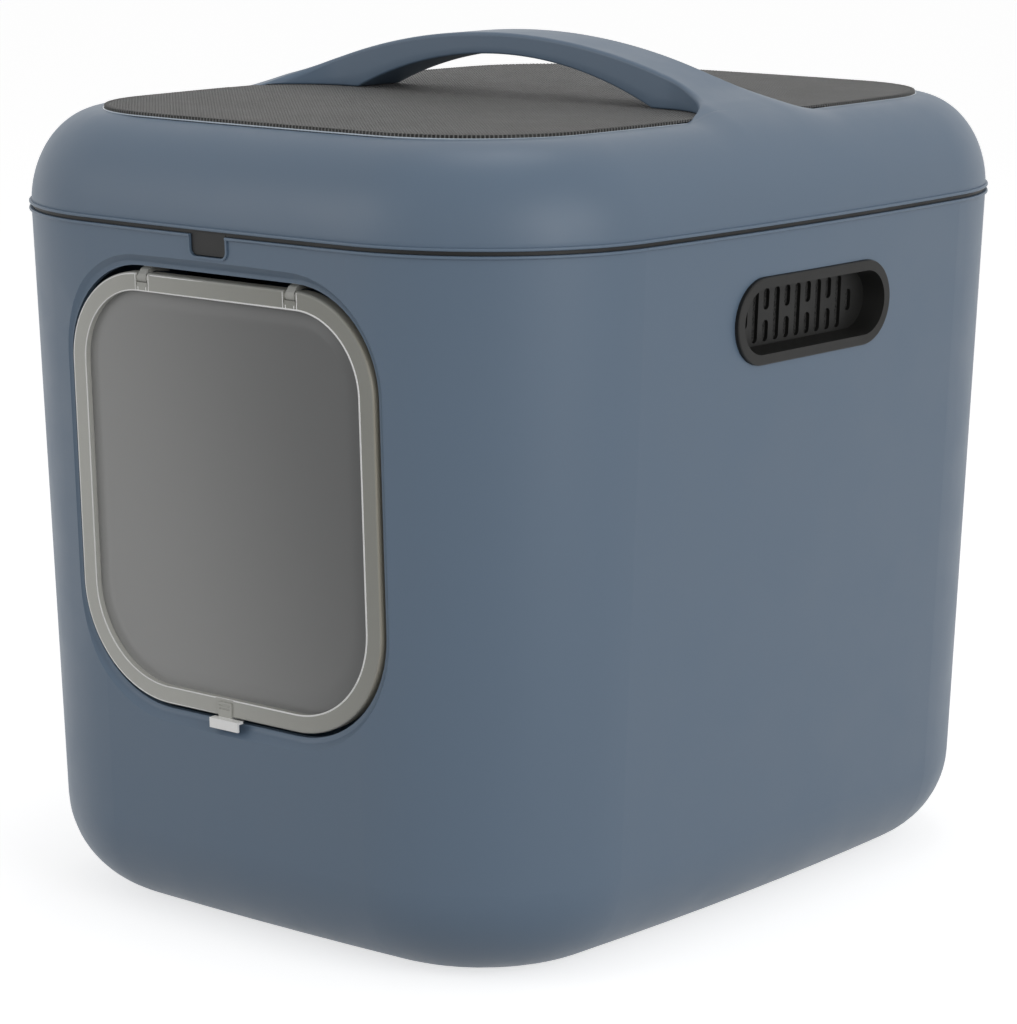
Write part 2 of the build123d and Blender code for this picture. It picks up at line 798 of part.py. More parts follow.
# Slider of the door lock: lip and shelf before the sill, grooved grip, neck, plate behind.
def make_lock_slider():
    lip_near = door_face_depth - lip_reach
    grip_near = door_face_depth - slider_gap - grip_thickness
    plate_near = rim_back + slider_gap
    lip_x = lock_x + lip_shift
    shelf_v = lip_top - shelf_thickness / 2
    lip = Pos(lip_x, (lip_top + lip_bottom) / 2) * Rectangle(lip_width, lip_height)
    shelf = Pos(lip_x, shelf_v) * Rectangle(lip_width, shelf_thickness)
    neck = Pos(lock_x, shelf_v) * Rectangle(neck_width, shelf_thickness)
    plate = Pos(lock_x, lip_bottom + slider_height / 2) * Rectangle(slider_width, slider_height)
    grip_high = door_bottom + grip_top
    grip = Pos(lock_x, (grip_high + shelf_v) / 2) * Rectangle(grip_width, grip_high - shelf_v)
    slider = slab(lip, lip_near, lip_near + lip_thickness)
    slider += slab(shelf, lip_near, door_face_depth - slider_gap)
    slider += slab(grip, grip_near, grip_near + grip_thickness)
    slider += slab(neck, lip_near, plate_near + slider_thickness)
    slider += slab(plate, plate_near, plate_near + slider_thickness)
    groove_pitch = (grip_top - grip_bottom) / (grip_grooves + 1)
    for row in range(1, grip_grooves + 1):
        groove = Rectangle(grip_width - 2 * grip_groove_width, grip_groove_width)
        place = Pos(lock_x, door_bottom + grip_bottom + row * groove_pitch)
        slider -= place * slab(groove, lip_near, grip_near + grip_groove_depth)
    return front * slider


# Keeper behind the rim: a channel that the slider's plate runs in.
def make_lock_keeper():
    low = door_bottom + keeper_rise
    channel_top = lip_bottom + slider_height + lock_travel + slider_side_gap
    high = channel_top + keeper_head
    channel_width = slider_width + 2 * slider_side_gap
    channel_far = rim_back + 2 * slider_gap + slider_thickness
    block = Pos(lock_x, (low + high) / 2) * Rectangle(channel_width + 2 * keeper_wall, high - low)
    channel = Pos(lock_x, (channel_top + low - keeper_head) / 2) * Rectangle(
        channel_width, channel_top - low + keeper_head
    )
    keeper = slab(block, rim_back, channel_far + keeper_wall)
    keeper -= slab(channel, rim_back - keeper_wall, channel_far)
    return front * keeper


# Every piece by its node name.
def make_pieces():
    cup = make_vent_cup()
    block = make_filter()
    cover = make_filter_cover()
    pieces = {
        "tub": make_tub(),
        "door_hinge_screws": make_hinge_screws(),
        "lid_shell": make_lid_shell(),
        "lid_hinge_screws": make_lid_hinge_screws(),
        "mesh_panel": make_mesh_panel(),
        "lid_frame": make_lid_frame(),
        "lid_screws": make_lid_screws(),
        "door_rim": make_door_rim(),
        "door_panel": make_door_panel(),
        "lock_slider": make_lock_slider(),
        "lock_keeper": make_lock_keeper(),
    }
    for name, side in sides.items():
        pieces[name + "_vent_cup"] = cup if side > 0 else mirror(cup, about=Plane.YZ)
        pieces[name + "_carbon_filter"] = block if side > 0 else mirror(block, about=Plane.YZ)
        pieces[name + "_filter_cover"] = cover if side > 0 else mirror(cover, about=Plane.YZ)
        pieces[name + "_door_hinge"] = make_door_hinge(side)
        pieces[name + "_door_pin"] = make_door_pin(side)
        pieces[name + "_lid_hinge"] = make_lid_hinge(side)
        pieces[name + "_lid_pin"] = make_lid_pin(side)
    return pieces


os.makedirs("parts", exist_ok=True)
for node, shape in make_pieces().items():
    export_step(shape, "parts/" + node + ".step")
    print(node, round(shape.volume / 1000, 2), "cm3")
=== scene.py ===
import bmesh
import bpy
import numpy as np
from mathutils import Matrix, Vector


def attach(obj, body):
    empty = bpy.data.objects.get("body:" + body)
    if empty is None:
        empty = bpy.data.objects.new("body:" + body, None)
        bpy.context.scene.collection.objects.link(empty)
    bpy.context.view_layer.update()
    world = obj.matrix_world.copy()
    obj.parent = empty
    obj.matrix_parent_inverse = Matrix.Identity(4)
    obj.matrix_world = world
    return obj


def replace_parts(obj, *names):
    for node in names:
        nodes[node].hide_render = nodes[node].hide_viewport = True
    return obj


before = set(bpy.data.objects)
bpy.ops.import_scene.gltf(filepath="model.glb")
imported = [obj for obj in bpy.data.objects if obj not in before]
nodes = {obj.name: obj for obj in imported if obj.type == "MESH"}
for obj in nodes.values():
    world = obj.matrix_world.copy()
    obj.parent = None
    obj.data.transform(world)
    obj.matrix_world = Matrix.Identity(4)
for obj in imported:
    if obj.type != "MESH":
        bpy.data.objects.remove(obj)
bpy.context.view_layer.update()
print("frame loaded:", len(nodes), "nodes")

mm = 0.001


# ---------- camera, light, floor ----------
view = {
    "eye": (1.27515, -1.55343, 0.60043),    # metres
    "right": (0.77251, 0.63499, 0.00335),
    "up": (-0.12662, 0.14887, 0.98072),
    "back": (0.62225, -0.75804, 0.19540),
    "focal": 3657.4,                        # pixels
    "middle": (518.95, 506.91),             # where the line of sight meets the frame, in pixels
    "frame": (1017, 1024),
    "sensor": 36, "clipEnd": 50,            # mm, metres
}


# a lens shifted off its middle, so that the line of sight meets the frame where view says
def addCamera():
    data = bpy.data.cameras.new("studioCamera")
    wide, tall = view["frame"]
    data.sensor_width = view["sensor"]
    data.lens = view["focal"] * view["sensor"] / tall
    data.shift_x = (wide / 2 - view["middle"][0]) / tall
    data.shift_y = (view["middle"][1] - tall / 2) / tall
    data.clip_end = view["clipEnd"]
    camera = bpy.data.objects.new("studioCamera", data)
    turn = Matrix([view["right"], view["up"], view["back"]]).transposed()
    camera.matrix_world = Matrix.Translation(view["eye"]) @ turn.to_4x4()
    bpy.context.scene.collection.objects.link(camera)
    bpy.context.scene.camera = camera


addCamera()
bpy.context.scene.view_settings.view_transform = "Standard"


# linear colour from an sRGB hex code
def paint(code):
    parts = np.array([int(code[i:i + 2], 16) for i in (1, 3, 5)]) / 255
    linear = np.where(parts <= 0.04045, parts / 12.92, ((parts + 0.055) / 1.055) ** 2.4)
    return (*linear.tolist(), 1.0)


# adds one node, with its settings and its inputs: a value, a socket, or nothing
def put(tree, kind, inputs=None, **settings):
    made = tree.nodes.new(kind)
    for key, value in settings.items():
        setattr(made, key, value)
    for key, value in (inputs or {}).items():
        if isinstance(value, bpy.types.NodeSocket):
            tree.links.new(value, made.inputs[key])
        else:
            made.inputs[key].default_value = value
    return made


# an empty node material and its tree
def newMaterial(name):
    material = bpy.data.materials.new(name)
    material.use_nodes = True
    material.node_tree.nodes.clear()
    return material, material.node_tree


studio = {
    "ambient": 0.64,                    # strength of the sky as a light
    "brightSide": (0.95, 0.2, 0.0),     # the sky is brighter towards this direction and dimmer away from it
    "sideRange": (0.72, 1.28),
    "zenith": 0.55,                     # how bright the sky is overhead, against its horizon
    "white": (1.0, 1.0, 1.0, 1.0),
    "floorSeen": "#dadada", "floorBounce": "#acacac", "floorGlow": 0.668, "floorReach": 12,
    "lamps": {
        # name: (place, aim, size in metres, watts)
        "sideSoftbox": ((2.3, -0.5, 0.9), (0, 0, 0.22), 1.6, 18),
        "frontSoftbox": ((-1.3, -2.4, 1.1), (0, 0, 0.25), 1.8, 12),
        "topSoftbox": ((0.0, 0.2, 2.4), (0, 0, 0.3), 0.9, 6),
    },
}


# round area lamps that face their aims
def addLamps():
    for name, (place, aim, size, watts) in studio["lamps"].items():
        data = bpy.data.lights.new(name, "AREA")
        data.shape = "DISK"
        data.size = size
        data.energy = watts
        lamp = bpy.data.objects.new(name, data)
        lamp.rotation_euler = (Vector(place) - Vector(aim)).to_track_quat("Z", "Y").to_euler()
        lamp.location = place
        bpy.context.scene.collection.objects.link(lamp)


# one where the camera, a mirror or a clear piece looks, nought for the light that falls on things
def seenDirectly(tree):
    path = put(tree, "ShaderNodeLightPath").outputs
    clear = put(tree, "ShaderNodeMath", {0: path["Is Camera Ray"], 1: path["Is Transmission Ray"]}, operation="MAXIMUM")
    seen = put(tree, "ShaderNodeMath", {0: clear.outputs[0], 1: path["Is Glossy Ray"]}, operation="MAXIMUM")
    return seen.outputs[0]


# the sky is white to look at; as a light it is grey, brighter to one side and dimmer overhead
def paintWorld():
    world = bpy.data.worlds.new("studioSky")
    world.use_nodes = True
    tree = world.node_tree
    tree.nodes.clear()
    direction = put(tree, "ShaderNodeTexCoord").outputs["Generated"]
    facing = put(tree, "ShaderNodeVectorMath", {0: direction, 1: studio["brightSide"]}, operation="DOT_PRODUCT")
    dim, bright = [share * studio["ambient"] for share in studio["sideRange"]]
    side = put(tree, "ShaderNodeMapRange", {"Value": facing.outputs["Value"], 1: -1, 2: 1, 3: dim, 4: bright})
    height = put(tree, "ShaderNodeSeparateXYZ", {0: direction}).outputs["Z"]
    fall = put(tree, "ShaderNodeMapRange", {"Value": height, 1: 0, 2: 1, 3: 1, 4: studio["zenith"]})
    strength = put(tree, "ShaderNodeMath", {0: side.outputs[0], 1: fall.outputs[0]}, operation="MULTIPLY")
    sky = put(tree, "ShaderNodeBackground", {"Color": studio["white"], "Strength": strength.outputs[0]})
    white = put(tree, "ShaderNodeBackground", {"Color": studio["white"], "Strength": 1.0})
    mixed = put(tree, "ShaderNodeMixShader", {0: seenDirectly(tree), 1: sky.outputs[0], 2: white.outputs[0]})
    put(tree, "ShaderNodeOutputWorld", {"Surface": mixed.outputs[0]})
    bpy.context.scene.world = world


# matt pale floor that keeps the shadow; its glow is only for the eye, and it throws back less light than it shows
def addFloor():
    material, tree = newMaterial("paleFloor")
    matt = put(tree, "ShaderNodeBsdfDiffuse", {"Color": paint(studio["floorSeen"])})
    bounce = put(tree, "ShaderNodeBsdfDiffuse", {"Color": paint(studio["floorBounce"])})
    glow = put(tree, "ShaderNodeEmission", {"Color": studio["white"], "Strength": studio["floorGlow"]})
    lit = put(tree, "ShaderNodeAddShader", {0: matt.outputs[0], 1: glow.outputs[0]})
    mixed = put(tree, "ShaderNodeMixShader", {0: seenDirectly(tree), 1: bounce.outputs[0], 2: lit.outputs[0]})
    put(tree, "ShaderNodeOutputMaterial", {"Surface": mixed.outputs[0]})
    data = bpy.data.meshes.new("floor")
    corners = [(x * studio["floorReach"], y * studio["floorReach"], 0) for x, y in ((-1, -1), (1, -1), (1, 1), (-1, 1))]
    data.from_pydata(corners, [], [(0, 1, 2, 3)])
    data.materials.append(material)
    floor = bpy.data.objects.new("floor", data)
    bpy.context.scene.collection.objects.link(floor)


addLamps()
paintWorld()
addFloor()
print("studio ready")


# ---------- materials ----------
# a point's own place on its piece
def objectPlace(tree):
    return put(tree, "ShaderNodeTexCoord").outputs["Object"]


# ends a material: its shader goes to the surface
def finishMaterial(material, tree, shader):
    put(tree, "ShaderNodeOutputMaterial", {"Surface": shader.outputs[0]})
    return material


# a mix of two colours by a share
def blend(tree, share, first, second):
    return put(tree, "ShaderNodeMix", {0: share, 6: first, 7: second}, data_type="RGBA").outputs[2]


# even grain of a mould's surface: noise with bumps of a width and a height in millimetres
def addBump(tree, size, height):
    noise = put(tree, "ShaderNodeTexNoise",
                {"Vector": objectPlace(tree), "Scale": 1 / (size * mm), "Detail": 2.0, "Roughness": 0.55})
    bump = put(tree, "ShaderNodeBump", {"Height": noise.outputs["Fac"], "Strength": 0.5, "Distance": height * mm})
    return bump.outputs["Normal"]


# clouds of a size in millimetres that shift a colour and its roughness a little
def mottle(tree, light, dark, size, reach):
    cloud = put(tree, "ShaderNodeTexNoise",
                {"Vector": objectPlace(tree), "Scale": 1 / (size * mm), "Detail": 4.0, "Roughness": 0.6})
    colour = blend(tree, cloud.outputs["Fac"], paint(dark), paint(light))
    rough = put(tree, "ShaderNodeMapRange", {"Value": cloud.outputs["Fac"], 1: 0.3, 2: 0.7, 3: reach[0], 4: reach[1]})
    return colour, rough.outputs[0]


moulded = {
    # name: light and dark colour, cloud size in mm, roughness range, grain width and height in mm, specular, ior
    # slate blue satin of the tub and lid
    "bluePolypropylene": ("#5b6d80", "#586a7d", 38.0, (0.4, 0.48), 0.55, 0.012, 0.5, 1.5),
    # black satin that keeps a soft highlight on its rims, also the black of the painted shade under the handle's legs
    # and round the panel, and the darker plastic of the seam
    "blackPolypropyleneAndPaintedShade": ("#1a1a19", "#171716", 26.0, (0.42, 0.54), 0.5, 0.01, 0.28, 1.5),
    "darkFramePolypropylene": ("#141414", "#121212", 26.0, (0.42, 0.54), 0.5, 0.01, 0.35, 1.5),
    # hard grey bearing plastic, a little glossier
    "greyAcetal": ("#a5a5a0", "#9c9c97", 12.0, (0.35, 0.45), 0.4, 0.008, 0.5, 1.48),
    # painted highlight: the thin lip round the window gets a pale bead that stands for the light it catches
    "paintedHighlightBluePolypropylene": ("#b9c5d0", "#aebac6", 38.0, (0.2, 0.28), 0.55, 0.004, 0.6, 1.5),
    # dull grey of thin moulded threads
    "greyMeshNylon": ("#6c6c6b", "#646463", 22.0, (0.55, 0.68), 0.35, 0.02, 0.3, 1.5),
}


# injection-moulded plastic: near-even colour, satin, with the fine grain of a spark-eroded mould; the grain is drawn
# about ten times as wide as a real one, or it would not show
def mouldedPlastic(name):
    light, dark, cloud, reach, grain, height, specular, ior = moulded[name]
    material, tree = newMaterial(name)
    colour, rough = mottle(tree, light, dark, cloud, reach)
    normal = addBump(tree, grain, height)
    shader = put(tree, "ShaderNodeBsdfPrincipled",
                 {"Base Color": colour, "Roughness": rough, "Normal": normal,
                  "Specular IOR Level": specular, "IOR": ior})
    return finishMaterial(material, tree, shader)


smoked = {
    # name: colour at the left and right, a painted light gradient, of the right-hand edge wall, a painted glow, and of
    # light that passes; share of passed light, share that is clear, roughness
    # the door's rim: a thick frame that scatters light, so it looks milky
    "smokedRimPolycarbonate": ("#cbcbc5", "#9c9c95", "#a39e90", "#c5c4be", 0.2, 0.0, 0.3),
    # the door's thin sheet, through which a little of the dark inside shows
    "smokedSheetPolycarbonate": ("#a8a8a7", "#6f7070", "#6f7070", "#8a8a88", 0.15, 0.06, 0.28),
    # painted highlight: near-white lines along the rim's edges and down from its notches
    "paintedHighlightPolycarbonate": ("#f0f0ee", "#fafaf9", "#fafaf9", "#ffffff", 0.1, 0.0, 0.15),
}
smoke = {
    "paintedLightAxis": (1, 0, 0.35), "paintedLightRun": (-30.0, 200.0),    # painted light: the colour darkens along this line, in mm
    "paintedGlowTurn": (0.3, 0.9), "edgeRun": (60.0, 90.0),        # where the painted glow on the right-hand edge wall starts, as slope and in mm
    "clearTint": "#9a9a98", "grain": (0.6, 0.01), "ior": 1.49,
}


# smoked translucent plastic: part of the light passes, the rest scatters inside it; painted light makes its colour
# lighter to the left and down, and its right-hand edge wall lighter as a painted glow
def smokedPlastic(name):
    left, right, side, glow, through, clear, rough = smoked[name]
    material, tree = newMaterial(name)
    normal = addBump(tree, *smoke["grain"])
    # painted light: the colour runs from light at the left and bottom to darker at the right and top, standing for
    # uneven light inside the door
    spot = put(tree, "ShaderNodeVectorMath", {0: objectPlace(tree), 1: smoke["paintedLightAxis"]}, operation="DOT_PRODUCT")
    start, stop = smoke["paintedLightRun"]
    share = put(tree, "ShaderNodeMapRange", {"Value": spot.outputs["Value"], 1: start * mm, 2: stop * mm},
                interpolation_type="SMOOTHSTEP")
    paintedLightColour = blend(tree, share.outputs[0], paint(left), paint(right))
    # painted glow: the right-hand edge wall is coloured lighter, standing for light that runs along inside the plastic
    # and comes out there
    facing = put(tree, "ShaderNodeSeparateXYZ", {0: put(tree, "ShaderNodeTexCoord").outputs["Normal"]})
    low, high = smoke["paintedGlowTurn"]
    turned = put(tree, "ShaderNodeMapRange", {"Value": facing.outputs["X"], 1: low, 2: high})
    place = put(tree, "ShaderNodeSeparateXYZ", {0: objectPlace(tree)})
    start, stop = smoke["edgeRun"]
    outer = put(tree, "ShaderNodeMapRange", {"Value": place.outputs["X"], 1: start * mm, 2: stop * mm})
    lit = put(tree, "ShaderNodeMath", {0: turned.outputs[0], 1: outer.outputs[0]}, operation="MULTIPLY")
    colour = blend(tree, lit.outputs[0], paintedLightColour, paint(side))
    body = put(tree, "ShaderNodeBsdfPrincipled",
               {"Base Color": colour, "Roughness": rough, "Normal": normal, "IOR": smoke["ior"]})
    passed = put(tree, "ShaderNodeBsdfTranslucent", {"Color": paint(glow)})
    milky = put(tree, "ShaderNodeMixShader", {0: through, 1: body.outputs[0], 2: passed.outputs[0]})
    window = put(tree, "ShaderNodeBsdfTransparent", {"Color": paint(smoke["clearTint"])})
    mixed = put(tree, "ShaderNodeMixShader", {0: clear, 1: milky.outputs[0], 2: window.outputs[0]})
    return finishMaterial(material, tree, mixed)


foam = {"cell": 1.5, "depth": 0.6, "hollow": "#050505", "web": "#2e2e2d", "rough": 0.95}     # mm


# open-celled polyurethane foam filled with carbon: a dark grey web, quite dull, with painted shade in its sunken
# hollows, which are coloured near black
def carbonFoam(name):
    material, tree = newMaterial(name)
    cells = put(tree, "ShaderNodeTexVoronoi", {"Vector": objectPlace(tree), "Scale": 1 / (foam["cell"] * mm)})
    web = put(tree, "ShaderNodeMapRange", {"Value": cells.outputs["Distance"], 1: 0.1, 2: 0.7, 3: 0.0, 4: 1.0})
    colour = blend(tree, web.outputs[0], paint(foam["hollow"]), paint(foam["web"]))
    bump = put(tree, "ShaderNodeBump", {"Height": web.outputs[0], "Strength": 1.0, "Distance": foam["depth"] * mm})
    shader = put(tree, "ShaderNodeBsdfPrincipled",
                 {"Base Color": colour, "Roughness": foam["rough"], "Normal": bump.outputs["Normal"]})
    return finishMaterial(material, tree, shader)


steel = {
    # name: light colour; the dark one, cloud size in mm, roughness range and grain are the same for both
    "zincScrewSteel": "#c9cacc",
    "brightPinSteel": "#d6d7d8",
}
steelWear = {"dark": "#8c8d8f", "cloud": 3.0, "rough": (0.25, 0.4), "grain": (0.3, 0.004)}


# zinc-plated or drawn steel of screws and pins: bright, with small patches a little duller
def plainSteel(name):
    material, tree = newMaterial(name)
    colour, rough = mottle(tree, steel[name], steelWear["dark"], steelWear["cloud"], steelWear["rough"])
    normal = addBump(tree, *steelWear["grain"])
    shader = put(tree, "ShaderNodeBsdfPrincipled",
                 {"Base Color": colour, "Metallic": 1.0, "Roughness": rough, "Normal": normal})
    return finishMaterial(material, tree, shader)


lock = {
    "shelf": (123.6, 124.2),    # height of the slider's shelf in mm: white below it, grey above
    "white": "#fafaf9", "grey": "#adada7", "rough": 0.35, "grain": (0.4, 0.006), "ior": 1.49,
}


# the lock slider's glossy acetal: its finger lip is white, its plate over the rim as grey as the rim
def lockAcetal(name):
    material, tree = newMaterial(name)
    place = put(tree, "ShaderNodeSeparateXYZ", {0: objectPlace(tree)})
    low, high = lock["shelf"]
    share = put(tree, "ShaderNodeMapRange", {"Value": place.outputs["Z"], 1: low * mm, 2: high * mm})
    colour = blend(tree, share.outputs[0], paint(lock["white"]), paint(lock["grey"]))
    normal = addBump(tree, *lock["grain"])
    shader = put(tree, "ShaderNodeBsdfPrincipled",
                 {"Base Color": colour, "Roughness": lock["rough"], "Normal": normal, "IOR": lock["ior"]})
    return finishMaterial(material, tree, shader)


materials = {name: mouldedPlastic(name) for name in moulded}
materials.update({name: smokedPlastic(name) for name in smoked})
materials.update({name: plainSteel(name) for name in steel})
materials["whiteLockAcetal"] = lockAcetal("whiteLockAcetal")
materials["carbonFilterFoam"] = carbonFoam("carbonFilterFoam")

finishes = {
    "bluePolypropylene": ["tub"],
    "darkFramePolypropylene": ["lid_frame"],
    "blackPolypropyleneAndPaintedShade": ["left_vent_cup", "right_vent_cup", "left_filter_cover", "right_filter_cover",
                           "left_lid_hinge", "right_lid_hinge"],
    "greyAcetal": ["left_door_hinge", "right_door_hinge"],
    "whiteLockAcetal": ["lock_slider"],
    "smokedRimPolycarbonate": ["door_rim", "lock_keeper"],
    "smokedSheetPolycarbonate": ["door_panel"],
    "carbonFilterFoam": ["left_carbon_filter", "right_carbon_filter"],
    "zincScrewSteel": ["door_hinge_screws", "lid_hinge_screws", "lid_screws"],
    "brightPinSteel": ["left_lid_pin", "right_lid_pin", "left_door_pin", "right_door_pin"],
    "greyMeshNylon": ["mesh_panel"],
}
for finish, names in finishes.items():
    for name in names:
        nodes[name].data.materials.clear()
        nodes[name].data.materials.append(materials[finish])
print("materials on", sum(len(names) for names in finishes.values()), "nodes")


# ---------- surfaces ----------
surface = {"weld": 0.01, "sharpAngle": 50}     # mm, degrees


# an object from a finished mesh, on its body and in its material slot
def addPiece(name, mesh, finish, body):
    mesh.materials.append(materials[finish])
    piece = bpy.data.objects.new(name, mesh)
    bpy.context.scene.collection.objects.link(piece)
    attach(piece, body)
    return piece


# one mesh object from grids of points, rows by columns by three in millimetres: each four neighbours make a face; a
# grid's columns may close on themselves, and a flipped one has its faces turned round; doubles are merged
def addSurface(name, grids, finish, body, sharpAngle=surface["sharpAngle"]):
    points, faces, start = [], [], 0
    for grid, closedColumns, flipped in grids:
        rows, columns = grid.shape[:2]
        index = np.arange(rows * columns).reshape(rows, columns) + start
        across = np.roll(index, -1, axis=1) if closedColumns else index[:, 1:]
        here = index if closedColumns else index[:, :-1]
        quads = np.stack([here[:-1], across[:-1], across[1:], here[1:]], axis=-1).reshape(-1, 4)
        faces.append(quads[:, ::-1] if flipped else quads)
        points.append(grid.reshape(-1, 3))
        start += rows * columns
    points = np.concatenate(points) * mm
    faces = np.concatenate(faces)
    mesh = bpy.data.meshes.new(name)
    mesh.vertices.add(len(points))
    mesh.vertices.foreach_set("co", points.ravel())
    mesh.loops.add(faces.size)
    mesh.loops.foreach_set("vertex_index", faces.ravel().astype(np.int32))
    mesh.polygons.add(len(faces))
    mesh.polygons.foreach_set("loop_start", np.arange(0, faces.size, 4, dtype=np.int32))
    mesh.update(calc_edges=True)
    work = bmesh.new()
    work.from_mesh(mesh)
    bmesh.ops.remove_doubles(work, verts=work.verts, dist=surface["weld"] * mm)
    bmesh.ops.dissolve_degenerate(work, edges=work.edges, dist=surface["weld"] * mm)
    work.to_mesh(mesh)
    work.free()
    mesh.polygons.foreach_set("use_smooth", np.ones(len(mesh.polygons), dtype=bool))
    mesh.set_sharp_from_angle(angle=np.radians(sharpAngle))
    return addPiece(name, mesh, finish, body)


# eases from nought at low to one at high: three times the share's square less twice its cube
def smoothStep(low, high, value):
    share = np.clip((value - low) / (high - low), 0, 1)
    return share * share * (3 - 2 * share)


# ---------- lid moulding ----------
lid = {     # mm
    # seam and window outlines: half width, half length, corner radius, side and end bulge radius
    "seam": (200.0, 246.0, 110.0, 2380.0, 2280.0),
    "window": (158.0, 212.0, 76.0, 2338.0, 2246.0),
    "bottom": 377.9, "top": 428.2, "shoulder": 40.5, "wall": 3.0, "innerRise": 45.1,
    "beadProud": 1.3, "beadHeight": 1.6, "beadRound": 0.6,
    "beadSink": 0.06, "beadClear": 0.15,    # the dome starts this far inside the seam and above the bead
    "crownAngle": 74,                       # degrees of the shoulder's ellipse; flat steps lead on to the window
    "panelBottom": 426.0, "ledgeBottom": 423.0, "ledgeWidth": 6.0, "lipRound": 0.7,
    "counts": (96, 32, 18),                 # points on a quarter's side, corner and end
}
lipHighlight = {"radius": 0.42, "out": 0.3, "drop": 0.2, "sink": 3, "sinkFrom": 0.4}     # mm
handle = {      # mm
    "apex": 465.0, "topRadius": 378.0, "underRadius": 244.0, "depth": 11.6, "arch": 128.0,
    "half": 18.0, "corner": 45.0, "rootStart": 112.0,
    "root": ((128.0, 442.66), (163.0, 430.07), (190.0, 436.0), (196.5, 392.0)),     # x and z of the cubic's points
    "land": (17.0, 59.0), "broadLand": (33.0, 61.0), "rootFade": (150.0, 193.0),    # a root fades out over these y, x
    "gap": 430.2, "edge": 2.0, "rootEdge": 3.2, "edgeRun": (118.0, 146.0), "underEdge": 1.2,
    "tip": (166.0, 63.0), "spineTip": 170.0, "spineRun": 49, "spinePower": 0.85, "edgePower": 1.6,
    "lift": 0.02, "dip": 0.4, "dipRun": (2.8, 5.2),         # above the dome, then under it past the window's edge
    "counts": (40, 26),                                     # points along each stretch, rows from crest to edge
    "skirtIn": 1.1, "skirtUp": 0.6, "skirtFoot": 424.0, "skirtStart": 42,
}


# the three arcs of an outline's quarter, each a centre, a radius and its angles: the corner's centre lies where circles
# about the side's and the end's centres meet, each with its bulge radius less the corner radius
def outlineArcs(shape):
    halfX, halfY, corner, bulgeX, bulgeY = shape
    side = np.array([halfX - bulgeX, 0.0])
    end = np.array([0.0, halfY - bulgeY])
    reachSide, reachEnd = bulgeX - corner, bulgeY - corner
    between = end - side
    length = np.hypot(*between)
    along = (reachSide ** 2 - reachEnd ** 2 + length ** 2) / (2 * length)
    across = np.sqrt(reachSide ** 2 - along ** 2)
    unit = between / length
    normal = np.array([unit[1], -unit[0]])
    middle = side + unit * along + normal * across
    if middle[0] < 0:
        middle = side + unit * along - normal * across
    first = np.arctan2(*(middle - side)[::-1])
    second = np.arctan2(*(middle - end)[::-1])
    return (side, bulgeX, 0, first), (middle, corner, first, second), (end, bulgeY, second, np.pi / 2)


# outline of eight tangent arcs at an inset, as points around it; both outlines share their columns
def outlineLoop(shape, inset):
    halfY = shape[1]
    points = []
    for (centre, radius, start, stop), count in zip(outlineArcs(shape), lid["counts"]):
        angle = np.linspace(start, stop, count, endpoint=False)
        points.append(centre + (radius - inset) * np.stack([np.cos(angle), np.sin(angle)], axis=-1))
    quarter = np.concatenate(points)
    top = np.array([[0.0, halfY - inset]])
    upper = np.concatenate([quarter, top, quarter[:0:-1] * (-1, 1)])
    return np.concatenate([upper, -upper])


# inset of points from an eight-arc outline: distance to the arc that faces them
def insetOf(shape, x, y):
    x, y = np.abs(x), np.abs(y)
    arcs = outlineArcs(shape)
    side, atCorner, end = [radius - np.hypot(x - centre[0], y - centre[1]) for centre, radius, _, _ in arcs]
    middle, _, first, second = arcs[1]
    angle = np.arctan2(y - middle[1], x - middle[0])
    return np.where((angle > first) & (angle < second), atCorner, np.minimum(side, end))


# height of the lid without its handle: an elliptical shoulder, then level
def domeHeight(x, y):
    inset = np.clip(insetOf(lid["seam"], x, y), 0, lid["shoulder"])
    rise = lid["top"] - lid["bottom"]
    return lid["bottom"] + rise * np.sqrt(1 - (1 - inset / lid["shoulder"]) ** 2)


# crest line of handle and root over x: a circle, then a cubic curve of four weighted points
def crestHeight(x):
    x = np.abs(x)
    share = np.linspace(0, 1, 200)[:, None]
    rest = 1 - share
    p0, p1, p2, p3 = np.array(handle["root"])
    curve = rest ** 3 * p0 + 3 * share * rest ** 2 * p1 + 3 * share ** 2 * rest * p2 + share ** 3 * p3
    arch = handle["apex"] - handle["topRadius"] + np.sqrt(handle["topRadius"] ** 2 - np.minimum(x, handle["arch"]) ** 2)
    root = np.interp(x, curve[:, 0], curve[:, 1])
    return np.where(x < handle["arch"], arch, root)


# lid surface with the root's saddle: the crest's height over the dome fades out across the land; the land of the right
# front leg is broader
def topHeight(x, y):
    base = domeHeight(x, y)
    spare = crestHeight(x) - domeHeight(x, 0 * y)
    spare = np.maximum(spare, 0) * (1 - smoothStep(*handle["rootFade"], np.abs(x)))
    broad, plain = smoothStep(*handle["broadLand"], -y), smoothStep(*handle["land"], np.abs(y))
    return base + spare * (1 - np.where((x > 0) & (y < 0), broad, plain))


# an outline at an inset and one height, as a row of a surface
def levelRow(shape, inset, z):
    loop = outlineLoop(shape, inset)
    return np.column_stack([loop, np.full(len(loop), z)])


